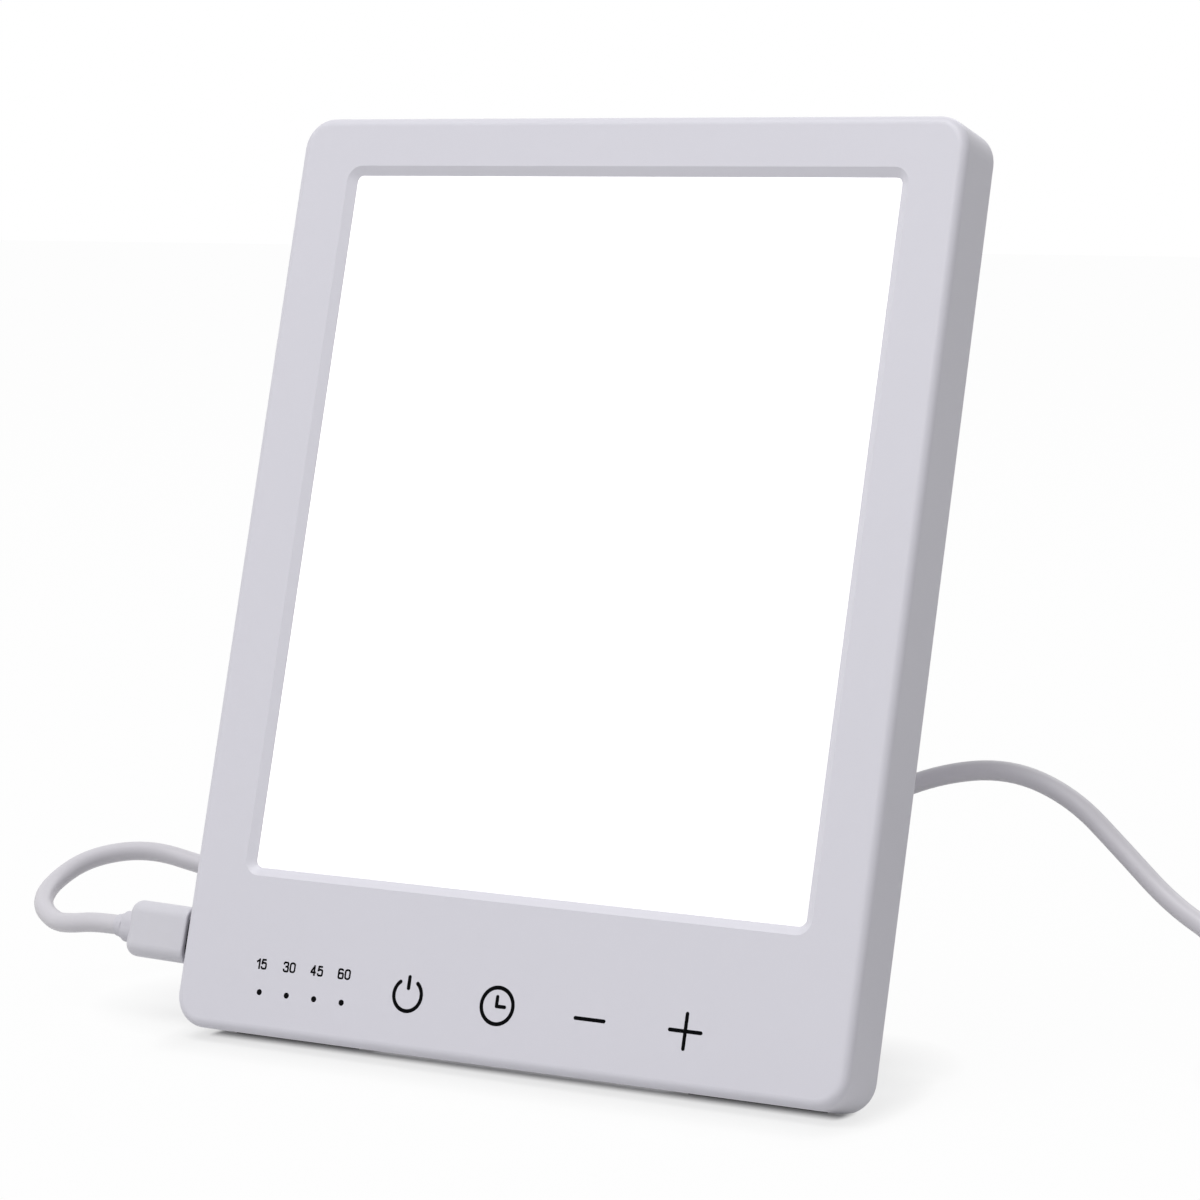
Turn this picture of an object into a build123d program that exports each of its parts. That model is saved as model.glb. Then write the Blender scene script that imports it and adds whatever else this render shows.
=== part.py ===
from build123d import *
import os
from math import atan2, cos, degrees, hypot, pi, radians, sin, tan

os.makedirs("parts", exist_ok=True)

# A tablet-shaped light therapy lamp on a fold-out rear leg, with its power cord.
# Millimetres. The casing's pieces are drawn upright: X across, Y into the depth from
# the face, Z up the face. stand_up() then leans them back, and puts the origin on the
# floor under the middle of the lamp.

# Casing
lamp_width = 159.5
lamp_height = 200.0
lamp_depth = 15.0
lean_angle = 15.9
corner_radius = 6.9
front_round = 2.0
rear_round = 1.5
side_wall = 2.4
face_wall = 2.0
cover_thickness = 2.0
cover_gap = 0.15
land_height = 1.0          # the bottom's rear corner is cut this far up, level with the floor
floor_clearance = 0.3

# Lit window and its bevel
window_side_margin = 14.2
window_shift = 0.6
window_bottom = 35.1
window_top_margin = 12.75
window_corner = 1.6
bevel_width = 1.8
bevel_depth = 1.3
panel_setback = 0.05
panel_gap = 0.1

# Light stack, from the face wall inwards
stack_margin = 2.7
stack_seat_gap = 0.3
diffuser_flange = 1.0
guide_thickness = 2.5
reflector_thickness = 0.3
spreader_thickness = 1.0
strip_thickness = 1.0
strip_tail = 4.0
chip_height = 0.8
chip_width = 2.0
chip_length = 3.0
chip_gap = 0.2
chips_per_side = 24
baffle_thickness = 1.4
baffle_end_margin = 5.6
foam_width = 8.0
foam_end_margin = 16.0
foam_side_margin = 10.3
foam_gap = 0.1

# Screws that hold the cover
case_boss_radius = 2.5
case_pilot_radius = 0.9
case_pilot_depth = 8.0
case_screw_radius = 1.0
case_screw_length = 9.0
case_head_radius = 2.2
case_head_height = 1.3
case_hole_clearance = 0.3
screw_slot_width = 0.5
screw_slot_depth = 0.6
boss_inset = 4.1
middle_boss_inset = 3.1
middle_boss_height = 100.0

# Control board
board_standoff = 2.25
board_thickness = 1.6
board_left_margin = 11.25
board_right_margin = 19.75
board_bottom = 5.0
board_top = 28.0
board_tab_margin = 3.5
board_edge_gap = 0.4
board_post_radius = 2.2
board_screw_radius = 0.75
board_screw_length = 3.2
board_head_radius = 1.6
board_head_height = 1.0
board_post_inset = 4.5
board_post_low = 9.0
board_post_high = 25.0
middle_post_places = [-30.0, 12.0]
key_height = 12.0
key_places = [-22.0, -0.35, 21.5, 43.35]
key_pad_size = 8.0
pad_gap = 0.05
dot_height = 8.89
dot_inset = 21.24
dot_pitch = 6.9
dot_count = 4
dot_radius = 0.62
dot_clearance = 0.03
pipe_flange_radius = 1.1
pipe_flange_height = 0.8
indicator_size = 1.6
indicator_height = 0.6
chip_places = [(0.0, 19.0, 5.0, 4.4), (22.0, 19.0, 4.9, 3.9)]
board_chip_height = 1.5
inductor_size = 7.0
inductor_height = 4.0
inductor_inset = 23.0
inductor_middle = 17.0
lead_socket_width = 6.0
lead_socket_depth = 4.0
lead_socket_height = 4.5
lead_socket_insets = [16.5, 10.0]
lead_socket_middle = 22.0
lead_radius = 0.6
lead_bend = 2.5
part_gap = 0.02

# Power socket in the left side wall
port_height = 19.1
socket_length = 7.3
socket_setback = 0.4
socket_metal = 0.3
socket_fit = 0.05
socket_slot_gap = 0.15
tongue_width = 6.69
tongue_thickness = 0.7
tongue_length = 4.6

# Rear leg, drawn folded, with Z = 0 at the hinge axis
hinge_height = 150.0
open_angle = 28.0
leg_width = 70.0
leg_thickness = 3.0
leg_side_gap = 0.6
leg_floor_gap = 0.4
barrel_radius = 2.75
barrel_length = 12.0
barrel_clearance = 0.35
stop_gap = 0.25
top_gap = 0.4
tub_wall = 1.4
ear_length = 6.0
pin_radius = 1.25
pin_grip = 9.0
pin_seat = 4.5
pin_running_gap = 0.05
washer_thickness = 0.35
washer_radius = 2.4
foot_pad_height = 3.0
foot_pad_inset = 4.0
tab_height = 30.13
tab_width = 26.0
tab_reach = 9.0
tab_thickness = 2.5
panel_recess = 1.0
panel_border = 5.0
panel_gap_to_tab = 6.0
leg_corner = 4.0

# Rubber feet under the casing: a strip each side of the leg's slot
foot_front = 12.0
foot_back = 14.0
foot_recess = 0.6
foot_slot_gap = 4.0
foot_end_margin = 9.0
foot_fit = 0.1

# Slots that let warm air out of the cover
vent_count = 13
vent_pitch = 5.0
vent_width = 1.6
vent_length = 12.0
vent_top_margin = 12.0

# Plug at the lamp
plug_width = 12.3
plug_thickness = 6.5
plug_length = 16.05
plug_corner = 2.8
plug_shoulder = 2.8
plug_front_round = 0.5
plug_standoff = 3.05
plug_tilt = 1.3            # its outer end rides this many degrees up in the socket
collar_width = 9.8
collar_thickness = 4.4
collar_gap = 0.3
shell_width = 8.34
shell_thickness = 2.56
shell_metal = 0.33
shell_insertion = 6.2
relief_seat = 2.2          # how deep the strain relief sits in the plug's shoulder
relief_neck = 1.6
relief_width = 6.8
relief_thickness = 5.6
relief_steps = [(2.75, 1.1), (2.45, 1.1)]
relief_round = 0.3

# Cord
cord_radius = 2.15
bend_share = 0.45
cord_route = [
    (-108.99, -32.37, 20.35), (-115.9, -32.03, 19.21), (-122.91, -29.01, 18.35),
    (-131.46, -23.04, 20.48), (-135.98, -12.73, 23.36), (-133.8, -1.27, 27.7),
    (-124.39, 8.69, 28.9), (-111.5, 12.95, 25.09), (-92.0, 19.35, 20.16), (-67.0, 28.85, 21.9),
    (-39.0, 41.95, 28.55), (-9.0, 40.75, 35.35), (19.0, 40.15, 40.35), (42.0, 39.85, 48.15),
    (59.0, 40.35, 56.25), (76.0, 40.95, 59.04), (91.0, 40.35, 54.09), (103.5, 38.15, 43.94),
    (115.5, 34.95, 34.44), (128.5, 30.35, 29.11), (139.5, 26.15, 17.75), (149.5, 22.55, 9.8),
    (161.0, 19.35, 7.67)]

# The coil of put-away cord, on the floor: it winds in over a top layer, then out below
coil_centre = (169.36, 50.55)
coil_outer = 32.3
coil_layer_turns = 3.5
coil_start_angle = -105.0
turn_gap = 0.05
coil_rounding = 1.8
tie_width = 6.0
tie_thickness = 0.8
tie_gap = 0.4
tie_angle = 45.0
tail_route = [(170.5, 16.8, 4.0), (180.1, 14.9, 4.0)]

# Plug at the far end
usb_a_body_width = 15.6
usb_a_body_thickness = 8.0
usb_a_body_length = 22.0
usb_a_corner = 2.8
usb_a_shoulder = 2.4
usb_a_shell_width = 12.0
usb_a_shell_thickness = 4.5
usb_a_shell_length = 18.8
usb_a_metal = 0.3
usb_a_insert_thickness = 1.85
usb_a_insert_setback = 0.6
usb_a_relief_seat = 1.8
usb_a_relief_steps = [(3.4, 3.0), (3.0, 2.4), (2.6, 2.0)]

# Places worked out from the sizes above
half_width = lamp_width / 2
inner_half = half_width - side_wall
cover_front = lamp_depth - cover_thickness
window_width = lamp_width - 2 * window_side_margin
window_top = lamp_height - window_top_margin
window_height = window_top - window_bottom
window_middle = (window_top + window_bottom) / 2
stack_half = window_width / 2 + stack_margin
stack_bottom = window_bottom - stack_margin
stack_top = window_top + stack_margin
guide_front = face_wall + diffuser_flange
reflector_front = guide_front + guide_thickness
spreader_front = reflector_front + reflector_thickness
spreader_back = spreader_front + spreader_thickness
strip_inner = stack_half + chip_gap + chip_height
strip_outer = strip_inner + strip_thickness
spreader_half = strip_outer + spreader_thickness
baffle_half = window_width / 2 - baffle_end_margin
foam_offset = stack_half - foam_side_margin
board_front = face_wall + board_standoff
board_back = board_front + board_thickness
board_left = board_left_margin - half_width
board_right = half_width - board_right_margin
board_post_places = [(board_left + board_post_inset, board_post_low),
                     (middle_post_places[0], board_post_high),
                     (middle_post_places[1], board_post_high),
                     (board_right - board_post_inset, board_post_low)]
dot_places = [dot_inset - half_width + i * dot_pitch for i in range(dot_count)]
lead_socket_places = [(board_left + lead_socket_insets[0], lead_socket_middle),
                      (board_right - lead_socket_insets[1], lead_socket_middle)]
inductor_place = (board_right - inductor_inset, inductor_middle)
socket_width = shell_width + 2 * (socket_fit + socket_metal)
socket_thickness = shell_thickness + 2 * (socket_fit + socket_metal)
port_depth = board_back + part_gap + socket_thickness / 2
hinge_depth = lamp_depth - leg_thickness
recess_floor = hinge_depth - leg_floor_gap
pocket_floor = hinge_depth - barrel_radius - barrel_clearance
heel_length = (barrel_radius + barrel_clearance - stop_gap) / sin(radians(open_angle))
recess_half = leg_width / 2 + leg_side_gap
recess_top = hinge_height + hypot(heel_length, leg_thickness) + top_gap
foot_inner = recess_half + foot_slot_gap
foot_outer = half_width - foot_end_margin
lift = lamp_depth * sin(radians(lean_angle)) - land_height + floor_clearance
leg_angle = open_angle - lean_angle
hinge_above_floor = (hinge_height * cos(radians(lean_angle))
                     - hinge_depth * sin(radians(lean_angle)) + lift)
plug_front = -half_width - plug_standoff
plug_back = plug_front - plug_length
relief_end = plug_back - relief_neck - sum(length for radius, length in relief_steps)
collar_end = -half_width - collar_gap
plug_place = (Pos(collar_end, port_depth, port_height) * Rot(0, plug_tilt, 0)
              * Pos(-collar_end, -port_depth, -port_height))
turn_pitch = 2 * cord_radius + turn_gap
coil_inner = coil_outer - coil_layer_turns * turn_pitch
coil_height = 4 * cord_radius
coil_lift = tie_thickness + tie_gap + part_gap
boss_places = [(side * (inner_half - inset), height)
               for side in (-1, 1)
               for inset, height in ((boss_inset, side_wall + boss_inset),
                                     (middle_boss_inset, middle_boss_height),
                                     (boss_inset, lamp_height - side_wall - boss_inset))]


def leg_reach(depth):
    """Distance along the leg from its hinge axis to the floor, at a depth off its front."""
    return (hinge_above_floor + depth * sin(radians(leg_angle))) / cos(radians(leg_angle))


def block(x0, x1, y0, y1, z0, z1):
    return Pos((x0 + x1) / 2, (y0 + y1) / 2, (z0 + z1) / 2) * Box(x1 - x0, y1 - y0, z1 - z0)


def slab(half, z0, z1, y0, y1, radius):
    """A plate across the lamp with rounded corners, from depth y0 to y1."""
    outline = RectangleRounded(2 * half, z1 - z0, radius)
    return extrude(Plane.XZ.offset(-y0) * Pos(0, (z0 + z1) / 2) * outline, amount=y0 - y1)


def bar(x0, x1, y, z, thickness, width, radius):
    """A rounded bar that runs along X."""
    outline = RectangleRounded(thickness, width, radius)
    return extrude(Plane.YZ.offset(x0) * Pos(y, z) * outline, amount=x1 - x0)


def post(x, z, y0, y1, radius):
    """A round post that runs into the depth."""
    return Pos(x, (y0 + y1) / 2, z) * Rot(90, 0, 0) * Cylinder(radius, y1 - y0)


def rod(x0, x1, y, z, radius):
    """A round rod that runs along X."""
    return Pos((x0 + x1) / 2, y, z) * Rot(0, 90, 0) * Cylinder(radius, x1 - x0)


def profile_x(points, x0, x1):
    """A side outline given as (depth, height) points, pushed along X."""
    return extrude(Plane.YZ.offset(x0) * make_face(Polyline(*points, close=True)), amount=x1 - x0)


def foot_sole(depth):
    """Height, in the upright drawing, of the floor at a depth."""
    return (depth * sin(radians(lean_angle)) - lift) / cos(radians(lean_angle))


def land_sole(depth):
    """Height, in the upright drawing, of the flat land that the casing's bottom is cut to."""
    return foot_sole(depth) + floor_clearance / cos(radians(lean_angle))


def below_land(front, back, rise, x0, x1):
    """All that lies lower than a surface which is a rise above the land."""
    points = [(front, land_sole(front) + rise), (back, land_sole(back) + rise),
              (back, -lamp_depth), (front, -lamp_depth)]
    return profile_x(points, x0, x1)


def make_front_frame():
    frame = slab(half_width, 0, lamp_height, 0, lamp_depth, corner_radius)
    frame = fillet(frame.edges().group_by(Axis.Y)[0], front_round)
    frame = fillet(frame.edges().group_by(Axis.Y)[-1], rear_round)
    frame -= slab(inner_half, side_wall, lamp_height - side_wall, face_wall, lamp_depth + 1,
                  corner_radius - side_wall)
    frame -= below_land(0, lamp_depth + 1, 0, -half_width - 1, half_width + 1)
    frame -= Pos(window_shift, 0, 0) * slab(window_width / 2, window_bottom, window_top, -1,
                                            face_wall + 1, window_corner)
    frame -= Pos(window_shift, 0, 0) * make_bevel_cut()
    for x, z in boss_places:
        frame += post(x, z, face_wall, cover_front, case_boss_radius)
    for x, z in board_post_places:
        frame += post(x, z, face_wall, board_front, board_post_radius)
    frame += block(-baffle_half, baffle_half, face_wall, spreader_back,
                   stack_bottom - stack_seat_gap - baffle_thickness, stack_bottom - stack_seat_gap)
    for x, z in boss_places:
        frame -= post(x, z, cover_front - case_pilot_depth, cover_front + 1, case_pilot_radius)
    for x, z in board_post_places:
        frame -= post(x, z, face_wall + 0.3, board_front + 1, board_screw_radius - 0.1)
    for x in dot_places:
        frame -= post(x, dot_height, -1, face_wall + 1, dot_radius + dot_clearance)
    frame -= bar(-half_width - 1, -inner_half + 1, port_depth, port_height,
                 socket_thickness + 2 * socket_slot_gap, socket_width + 2 * socket_slot_gap,
                 socket_thickness / 2)
    frame -= block(-recess_half, recess_half, recess_floor, lamp_depth + 1, -1, side_wall + 1)
    for side in (-1, 1):
        start, end = sorted((side * (foot_inner - foot_fit), side * (foot_outer + foot_fit)))
        frame -= below_land(foot_front - foot_fit, foot_back + foot_fit, foot_recess, start, end)
    return frame


def make_bevel_cut():
    outer = RectangleRounded(window_width + 2 * bevel_width, window_height + 2 * bevel_width,
                             window_corner + bevel_width)
    inner = RectangleRounded(window_width, window_height, window_corner)
    return loft([Plane.XZ * Pos(0, window_middle) * outer,
                 Plane.XZ.offset(-bevel_depth) * Pos(0, window_middle) * inner], ruled=True)


def make_rear_cover():
    z0 = side_wall + cover_gap
    z1 = lamp_height - side_wall - cover_gap
    cover = slab(inner_half - cover_gap, z0, z1, cover_front, lamp_depth,
                 corner_radius - side_wall - cover_gap)
    tub_top = recess_top + tub_wall
    cover += block(-recess_half - tub_wall, recess_half + tub_wall, recess_floor - tub_wall,
                   cover_front, z0, tub_top)
    cover += block(-recess_half - ear_length, recess_half + ear_length, pocket_floor - tub_wall,
                   cover_front, hinge_height - barrel_radius - barrel_clearance - tub_wall, tub_top)
    cover -= block(-recess_half, recess_half, recess_floor, lamp_depth + 1, z0 - 1, recess_top)
    cover -= block(-recess_half, recess_half, pocket_floor, lamp_depth + 1,
                   hinge_height - barrel_radius - barrel_clearance, recess_top)
    for side in (-1, 1):
        start, end = sorted((side * (recess_half - 1), side * (recess_half + pin_seat)))
        cover -= rod(start, end, hinge_depth, hinge_height, pin_radius + part_gap)
    head_cut = case_head_radius + case_hole_clearance
    for x, z in boss_places:
        cover -= post(x, z, cover_front - 1, lamp_depth + 1, case_screw_radius + case_hole_clearance)
        cover -= post(x, z, lamp_depth - case_head_height, lamp_depth + 1, head_cut)
    for i in range(vent_count):
        x = (i - (vent_count - 1) / 2) * vent_pitch
        z = lamp_height - side_wall - vent_top_margin - vent_length / 2
        cover -= Pos(x, (cover_front + lamp_depth) / 2, z) * Rot(90, 0, 0) * extrude(
            SlotOverall(vent_length, vent_width, rotation=90), amount=cover_thickness, both=True)
    return cover


def make_diffuser():
    panel = slab(stack_half, stack_bottom, stack_top, face_wall, guide_front, window_corner)
    panel += Pos(window_shift, 0, 0) * slab(
        window_width / 2 - panel_gap, window_bottom + panel_gap, window_top - panel_gap,
        bevel_depth + panel_setback, face_wall, window_corner - panel_gap)
    return panel


def make_heat_spreader():
    plate = block(-spreader_half, spreader_half, spreader_front, spreader_back, stack_bottom, stack_top)
    for side in (-1, 1):
        start, end = sorted((side * strip_outer, side * spreader_half))
        plate += block(start, end, guide_front, spreader_front, stack_bottom, stack_top)
    return plate


def make_led_strip(side):
    start, end = sorted((side * strip_inner, side * strip_outer))
    return block(start, end, guide_front, spreader_front, stack_bottom - strip_tail, stack_top)


def make_led_chips():
    chips = []
    pitch = (stack_top - stack_bottom) / chips_per_side
    y = (guide_front + reflector_front) / 2
    for side in (-1, 1):
        start, end = sorted((side * (strip_inner - chip_height), side * strip_inner))
        for i in range(chips_per_side):
            z = stack_bottom + (i + 0.5) * pitch
            chips.append(block(start, end, y - chip_width / 2, y + chip_width / 2,
                               z - chip_length / 2, z + chip_length / 2))
    return chips


def make_foam_strips():
    strips = []
    for side in (-1, 1):
        x = side * foam_offset
        strips.append(block(x - foam_width / 2, x + foam_width / 2, spreader_back,
                            cover_front - foam_gap, stack_bottom + foam_end_margin,
                            stack_top - foam_end_margin))
    return strips


def make_control_board():
    board = block(board_left, board_right, board_front, board_back, board_bottom, board_top)
    board += block(-inner_half + board_edge_gap, board_left, board_front, board_back,
                   port_height - socket_width / 2 - board_tab_margin,
                   port_height + socket_width / 2 + board_tab_margin)
    for x, z in board_post_places:
        board -= post(x, z, board_front - 1, board_back + 1, board_screw_radius + 0.15)
    return board


def make_board_screws():
    screws = []
    for x, z in board_post_places:
        shank = post(x, z, board_back - board_screw_length, board_back, board_screw_radius - 0.1)
        screws.append(shank + post(x, z, board_back, board_back + board_head_height, board_head_radius))
    return screws


def make_case_screws():
    screws = []
    head_back = lamp_depth - 0.1
    for x, z in boss_places:
        head_front = lamp_depth - case_head_height
        screw = post(x, z, head_back - case_screw_length, head_front, case_pilot_radius)
        screw += post(x, z, head_front, head_back, case_head_radius)
        for turn in (0, 90):
            slot = Box(screw_slot_width, 2 * screw_slot_depth, 1.3 * case_head_radius)
            screw -= Pos(x, head_back, z) * Rot(0, turn, 0) * slot
        screws.append(screw)
    return screws


def make_touch_pads():
    half = key_pad_size / 2
    return [block(x - half, x + half, face_wall + pad_gap, board_front, key_height - half,
                  key_height + half) for x in key_places]


def make_light_pipes():
    pipes = []
    for x in dot_places:
        pipe = post(x, dot_height, 0, face_wall, dot_radius)
        pipe += post(x, dot_height, face_wall, face_wall + pipe_flange_height, pipe_flange_radius)
        pipes.append(pipe)
    return pipes


def make_indicator_leds():
    half = indicator_size / 2
    return [block(x - half, x + half, board_front - indicator_height, board_front,
                  dot_height - half, dot_height + half) for x in dot_places]


def make_board_chips():
    return [block(x - length / 2, x + length / 2, board_back, board_back + board_chip_height,
                  z - width / 2, z + width / 2) for x, z, length, width in chip_places]


def make_power_inductor():
    x, z = inductor_place
    half = inductor_size / 2
    body = block(x - half, x + half, board_back, board_back + inductor_height, z - half, z + half)
    return fillet(body.edges().filter_by(Axis.Y), inductor_size / 4)


def make_lead_sockets():
    sockets = []
    for x, z in lead_socket_places:
        sockets.append(block(x - lead_socket_width / 2, x + lead_socket_width / 2, board_back,
                             board_back + lead_socket_depth, z - lead_socket_height / 2,
                             z + lead_socket_height / 2))
    return sockets


def make_led_leads():
    """One short lead each side, from its socket on the board to the tail of the LED strip."""
    leads = []
    y = board_back + lead_socket_depth / 2
    strip_y = spreader_front + lead_radius + part_gap
    for (x, z), side in zip(lead_socket_places, (-1, 1)):
        start = x + side * lead_socket_width / 2
        end = side * (strip_inner + strip_outer) / 2
        tail = stack_bottom - strip_tail / 2
        path = FilletPolyline((start, y, z), (end, y, z), (end, strip_y, tail), radius=lead_bend)
        leads.append(tube(path, lead_radius))
    return leads


def tube(path, radius):
    return sweep(Plane(origin=path @ 0, z_dir=path % 0) * Circle(radius), path=path)


def make_usb_socket():
    mouth = -half_width + socket_setback
    back = mouth + socket_length
    shell = bar(mouth, back, port_depth, port_height, socket_thickness, socket_width,
                socket_thickness / 2 - 0.01)
    shell -= bar(mouth - 1, back - socket_metal, port_depth, port_height,
                 shell_thickness + 2 * socket_fit, shell_width + 2 * socket_fit,
                 shell_thickness / 2 + socket_fit - 0.01)
    tongue = block(back - socket_metal - tongue_length, back - socket_metal,
                   port_depth - tongue_thickness / 2, port_depth + tongue_thickness / 2,
                   port_height - tongue_width / 2, port_height + tongue_width / 2)
    return shell, tongue


def make_rubber_feet():
    feet = []
    top = foot_recess - part_gap
    points = [(foot_front, land_sole(foot_front) + top), (foot_back, land_sole(foot_back) + top),
              (foot_back, foot_sole(foot_back)), (foot_front, foot_sole(foot_front))]
    for side in (-1, 1):
        start, end = sorted((side * foot_inner, side * foot_outer))
        feet.append(profile_x(points, start, end))
    return feet


def make_hinge_pins():
    pins = []
    for side in (-1, 1):
        start, end = sorted((side * (leg_width / 2 - pin_grip), side * (recess_half + pin_seat - 0.3)))
        pins.append(rod(start, end, hinge_depth, hinge_height, pin_radius))
    return pins


def make_friction_washers():
    washers = []
    for side in (-1, 1):
        middle = side * (leg_width / 2 + recess_half) / 2
        ring = rod(middle - washer_thickness / 2, middle + washer_thickness / 2, hinge_depth,
                   hinge_height, washer_radius)
        ring -= rod(middle - 1, middle + 1, hinge_depth, hinge_height, pin_radius + pin_running_gap)
        washers.append(ring)
    return washers


def make_kickstand_leg():
    """The leg as it lies folded: Y = 0 is its front face, its hinge axis runs along X."""
    half = leg_width / 2
    pad = foot_pad_height / cos(radians(leg_angle))
    end_points = [(0, heel_length), (leg_thickness, heel_length),
                  (leg_thickness, pad - leg_reach(leg_thickness)), (0, pad - leg_reach(0))]
    leg = profile_x(end_points, -half, half)
    tab_z = -leg_reach(0) + tab_height
    tab = block(-tab_width / 2, tab_width / 2, leg_thickness, leg_thickness + tab_reach,
                tab_z - tab_thickness, tab_z)
    leg += fillet(tab.edges().filter_by(Axis.Z).group_by(Axis.Y)[-1], leg_corner)
    for side in (-1, 1):
        start, end = sorted((side * (half - barrel_length), side * half))
        leg += rod(start, end, 0, 0, barrel_radius)
        start, end = sorted((side * (half - pin_grip - 0.3), side * (half + 1)))
        leg -= rod(start, end, 0, 0, pin_radius + pin_running_gap)
    panel_end = tab_z - tab_thickness - panel_gap_to_tab
    leg -= block(-half + panel_border, half - panel_border, -1, panel_recess,
                 -leg_reach(0) + pad + panel_border, panel_end)
    leg -= block(-half + panel_border, half - panel_border, -1, panel_recess,
                 tab_z + panel_gap_to_tab, -barrel_radius - panel_border)
    return leg


def make_leg_foot_pad():
    half = leg_width / 2 - foot_pad_inset
    pad = foot_pad_height / cos(radians(leg_angle))
    points = [(0, pad - leg_reach(0)), (leg_thickness, pad - leg_reach(leg_thickness)),
              (leg_thickness, -leg_reach(leg_thickness)), (0, -leg_reach(0))]
    return profile_x(points, -half, half)


def make_plug_at_lamp():
    """The moulded body, its black collar, the metal shell and the stepped strain relief."""
    body = bar(plug_back, plug_front, port_depth, port_height, plug_thickness, plug_width, plug_corner)
    body = fillet(body.edges().group_by(Axis.X)[0], plug_shoulder)
    body = fillet(body.edges().group_by(Axis.X)[-1], plug_front_round)
    seat = plug_back + relief_seat
    body -= bar(plug_back - 1, seat, port_depth, port_height, relief_thickness, relief_width,
                relief_thickness / 2 - 0.01)
    body = plug_place * body
    collar = bar(plug_front - plug_front_round, collar_end, port_depth, port_height,
                 collar_thickness, collar_width, collar_thickness / 2 - 0.01)
    collar -= body
    tip = collar_end + shell_insertion
    shell = bar(collar_end, tip, port_depth, port_height, shell_thickness, shell_width,
                shell_thickness / 2 - 0.01)
    shell -= bar(collar_end + 1, tip + 1, port_depth, port_height, shell_thickness - 2 * shell_metal,
                 shell_width - 2 * shell_metal, shell_thickness / 2 - shell_metal - 0.01)
    x = plug_back - relief_neck
    relief = bar(x, seat, port_depth, port_height, relief_thickness, relief_width,
                 relief_thickness / 2 - 0.01)
    relief = fillet(relief.edges().group_by(Axis.X)[0], relief_round)
    for radius, length in relief_steps:
        step = rod(x - length, x, port_depth, port_height, radius)
        relief += fillet(step.edges().group_by(Axis.X)[0], relief_round)
        x -= length
    return body, collar, shell, plug_place * relief


def cord_radii(points):
    """The largest bend at each corner that its two runs leave room for."""
    radii = []
    for before, here, after in zip(points, points[1:], points[2:]):
        arriving = Vector(*here) - Vector(*before)
        leaving = Vector(*after) - Vector(*here)
        half_turn = radians(arriving.get_angle(leaving) / 2)
        radii.append(bend_share * min(arriving.length, leaving.length) / tan(half_turn))
    return radii


def make_cord_tube(points, name):
    radii = cord_radii(points)
    path = FilletPolyline(*points, radius=radii)
    solid = tube(path, cord_radius)
    print(name, "bend radii", [round(radius, 1) for radius in radii])
    share = solid.volume / (pi * cord_radius**2 * path.length)
    print(name, "length", round(path.length, 1), "volume over section times length", round(share, 4))
    return solid


def coil_point(angle, radius, z):
    x = coil_centre[0] + radius * cos(radians(angle))
    y = coil_centre[1] + radius * sin(radians(angle))
    return (x, y, z)


def make_cable_coil():
    """The outer shape of the wound coil: a thick ring with rounded edges."""
    width = coil_outer - coil_inner + 2 * cord_radius
    section = Plane.XZ * Pos((coil_outer + coil_inner) / 2, coil_lift + coil_height / 2)
    ring = revolve(section * RectangleRounded(width, coil_height, coil_rounding), Axis.Z)
    length = pi * (coil_outer + coil_inner) * 2 * coil_layer_turns
    print("coil of", round(length), "mm, inner radius", round(coil_inner, 1))
    return Pos(*coil_centre, 0) * ring


def make_cable_tie():
    """A flat strap round the coil's winding at one place."""
    width = coil_outer - coil_inner + 2 * cord_radius + 2 * tie_gap
    height = coil_height + 2 * tie_gap
    loop = RectangleRounded(width + 2 * tie_thickness, height + 2 * tie_thickness,
                            coil_rounding + tie_thickness)
    loop -= RectangleRounded(width, height, coil_rounding)
    middle = Pos((coil_outer + coil_inner) / 2, coil_lift + coil_height / 2)
    place = Plane.XZ.offset(-tie_width / 2) * middle
    strap = extrude(place * loop, amount=tie_width)
    return Pos(*coil_centre, 0) * Rot(0, 0, tie_angle) * strap


def make_plug_at_far_end():
    """Body, strain relief, shell and insert, drawn along +X from the end of the cord."""
    body_start = sum(length for radius, length in usb_a_relief_steps)
    root_radius = usb_a_relief_steps[0][0]
    relief = rod(body_start - 1, body_start + usb_a_relief_seat, 0, 0, root_radius)
    x = body_start
    for radius, length in usb_a_relief_steps:
        step = rod(x - length, x, 0, 0, radius)
        relief += fillet(step.edges().group_by(Axis.X)[0], relief_round)
        x -= length
    body_end = body_start + usb_a_body_length
    body = flat_bar(body_start, body_end, usb_a_body_width, usb_a_body_thickness, usb_a_corner)
    body = fillet(body.edges().group_by(Axis.X)[0], usb_a_shoulder)
    body = fillet(body.edges().group_by(Axis.X)[-1], plug_front_round)
    body -= rod(body_start - 1, body_start + usb_a_relief_seat, 0, 0, root_radius)
    end = body_end + usb_a_shell_length
    shell = flat_bar(body_end, end, usb_a_shell_width, usb_a_shell_thickness, usb_a_metal)
    inner_width = usb_a_shell_width - 2 * usb_a_metal
    shell -= block(body_end + usb_a_metal, end + 1, -inner_width / 2, inner_width / 2,
                   usb_a_metal - usb_a_shell_thickness / 2, usb_a_shell_thickness / 2 - usb_a_metal)
    bottom = usb_a_metal - usb_a_shell_thickness / 2
    insert = block(body_end + usb_a_metal, end - usb_a_insert_setback, -inner_width / 2,
                   inner_width / 2, bottom, bottom + usb_a_insert_thickness)
    return {"usb_a_plug_body": body, "usb_a_strain_relief": relief, "usb_a_shell": shell,
            "usb_a_insert": insert}


def flat_bar(x0, x1, width, thickness, radius):
    """A rounded bar that lies flat along X, its middle on the X axis."""
    outline = RectangleRounded(width, thickness, radius)
    return extrude(Plane.YZ.offset(x0) * outline, amount=x1 - x0)


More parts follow.
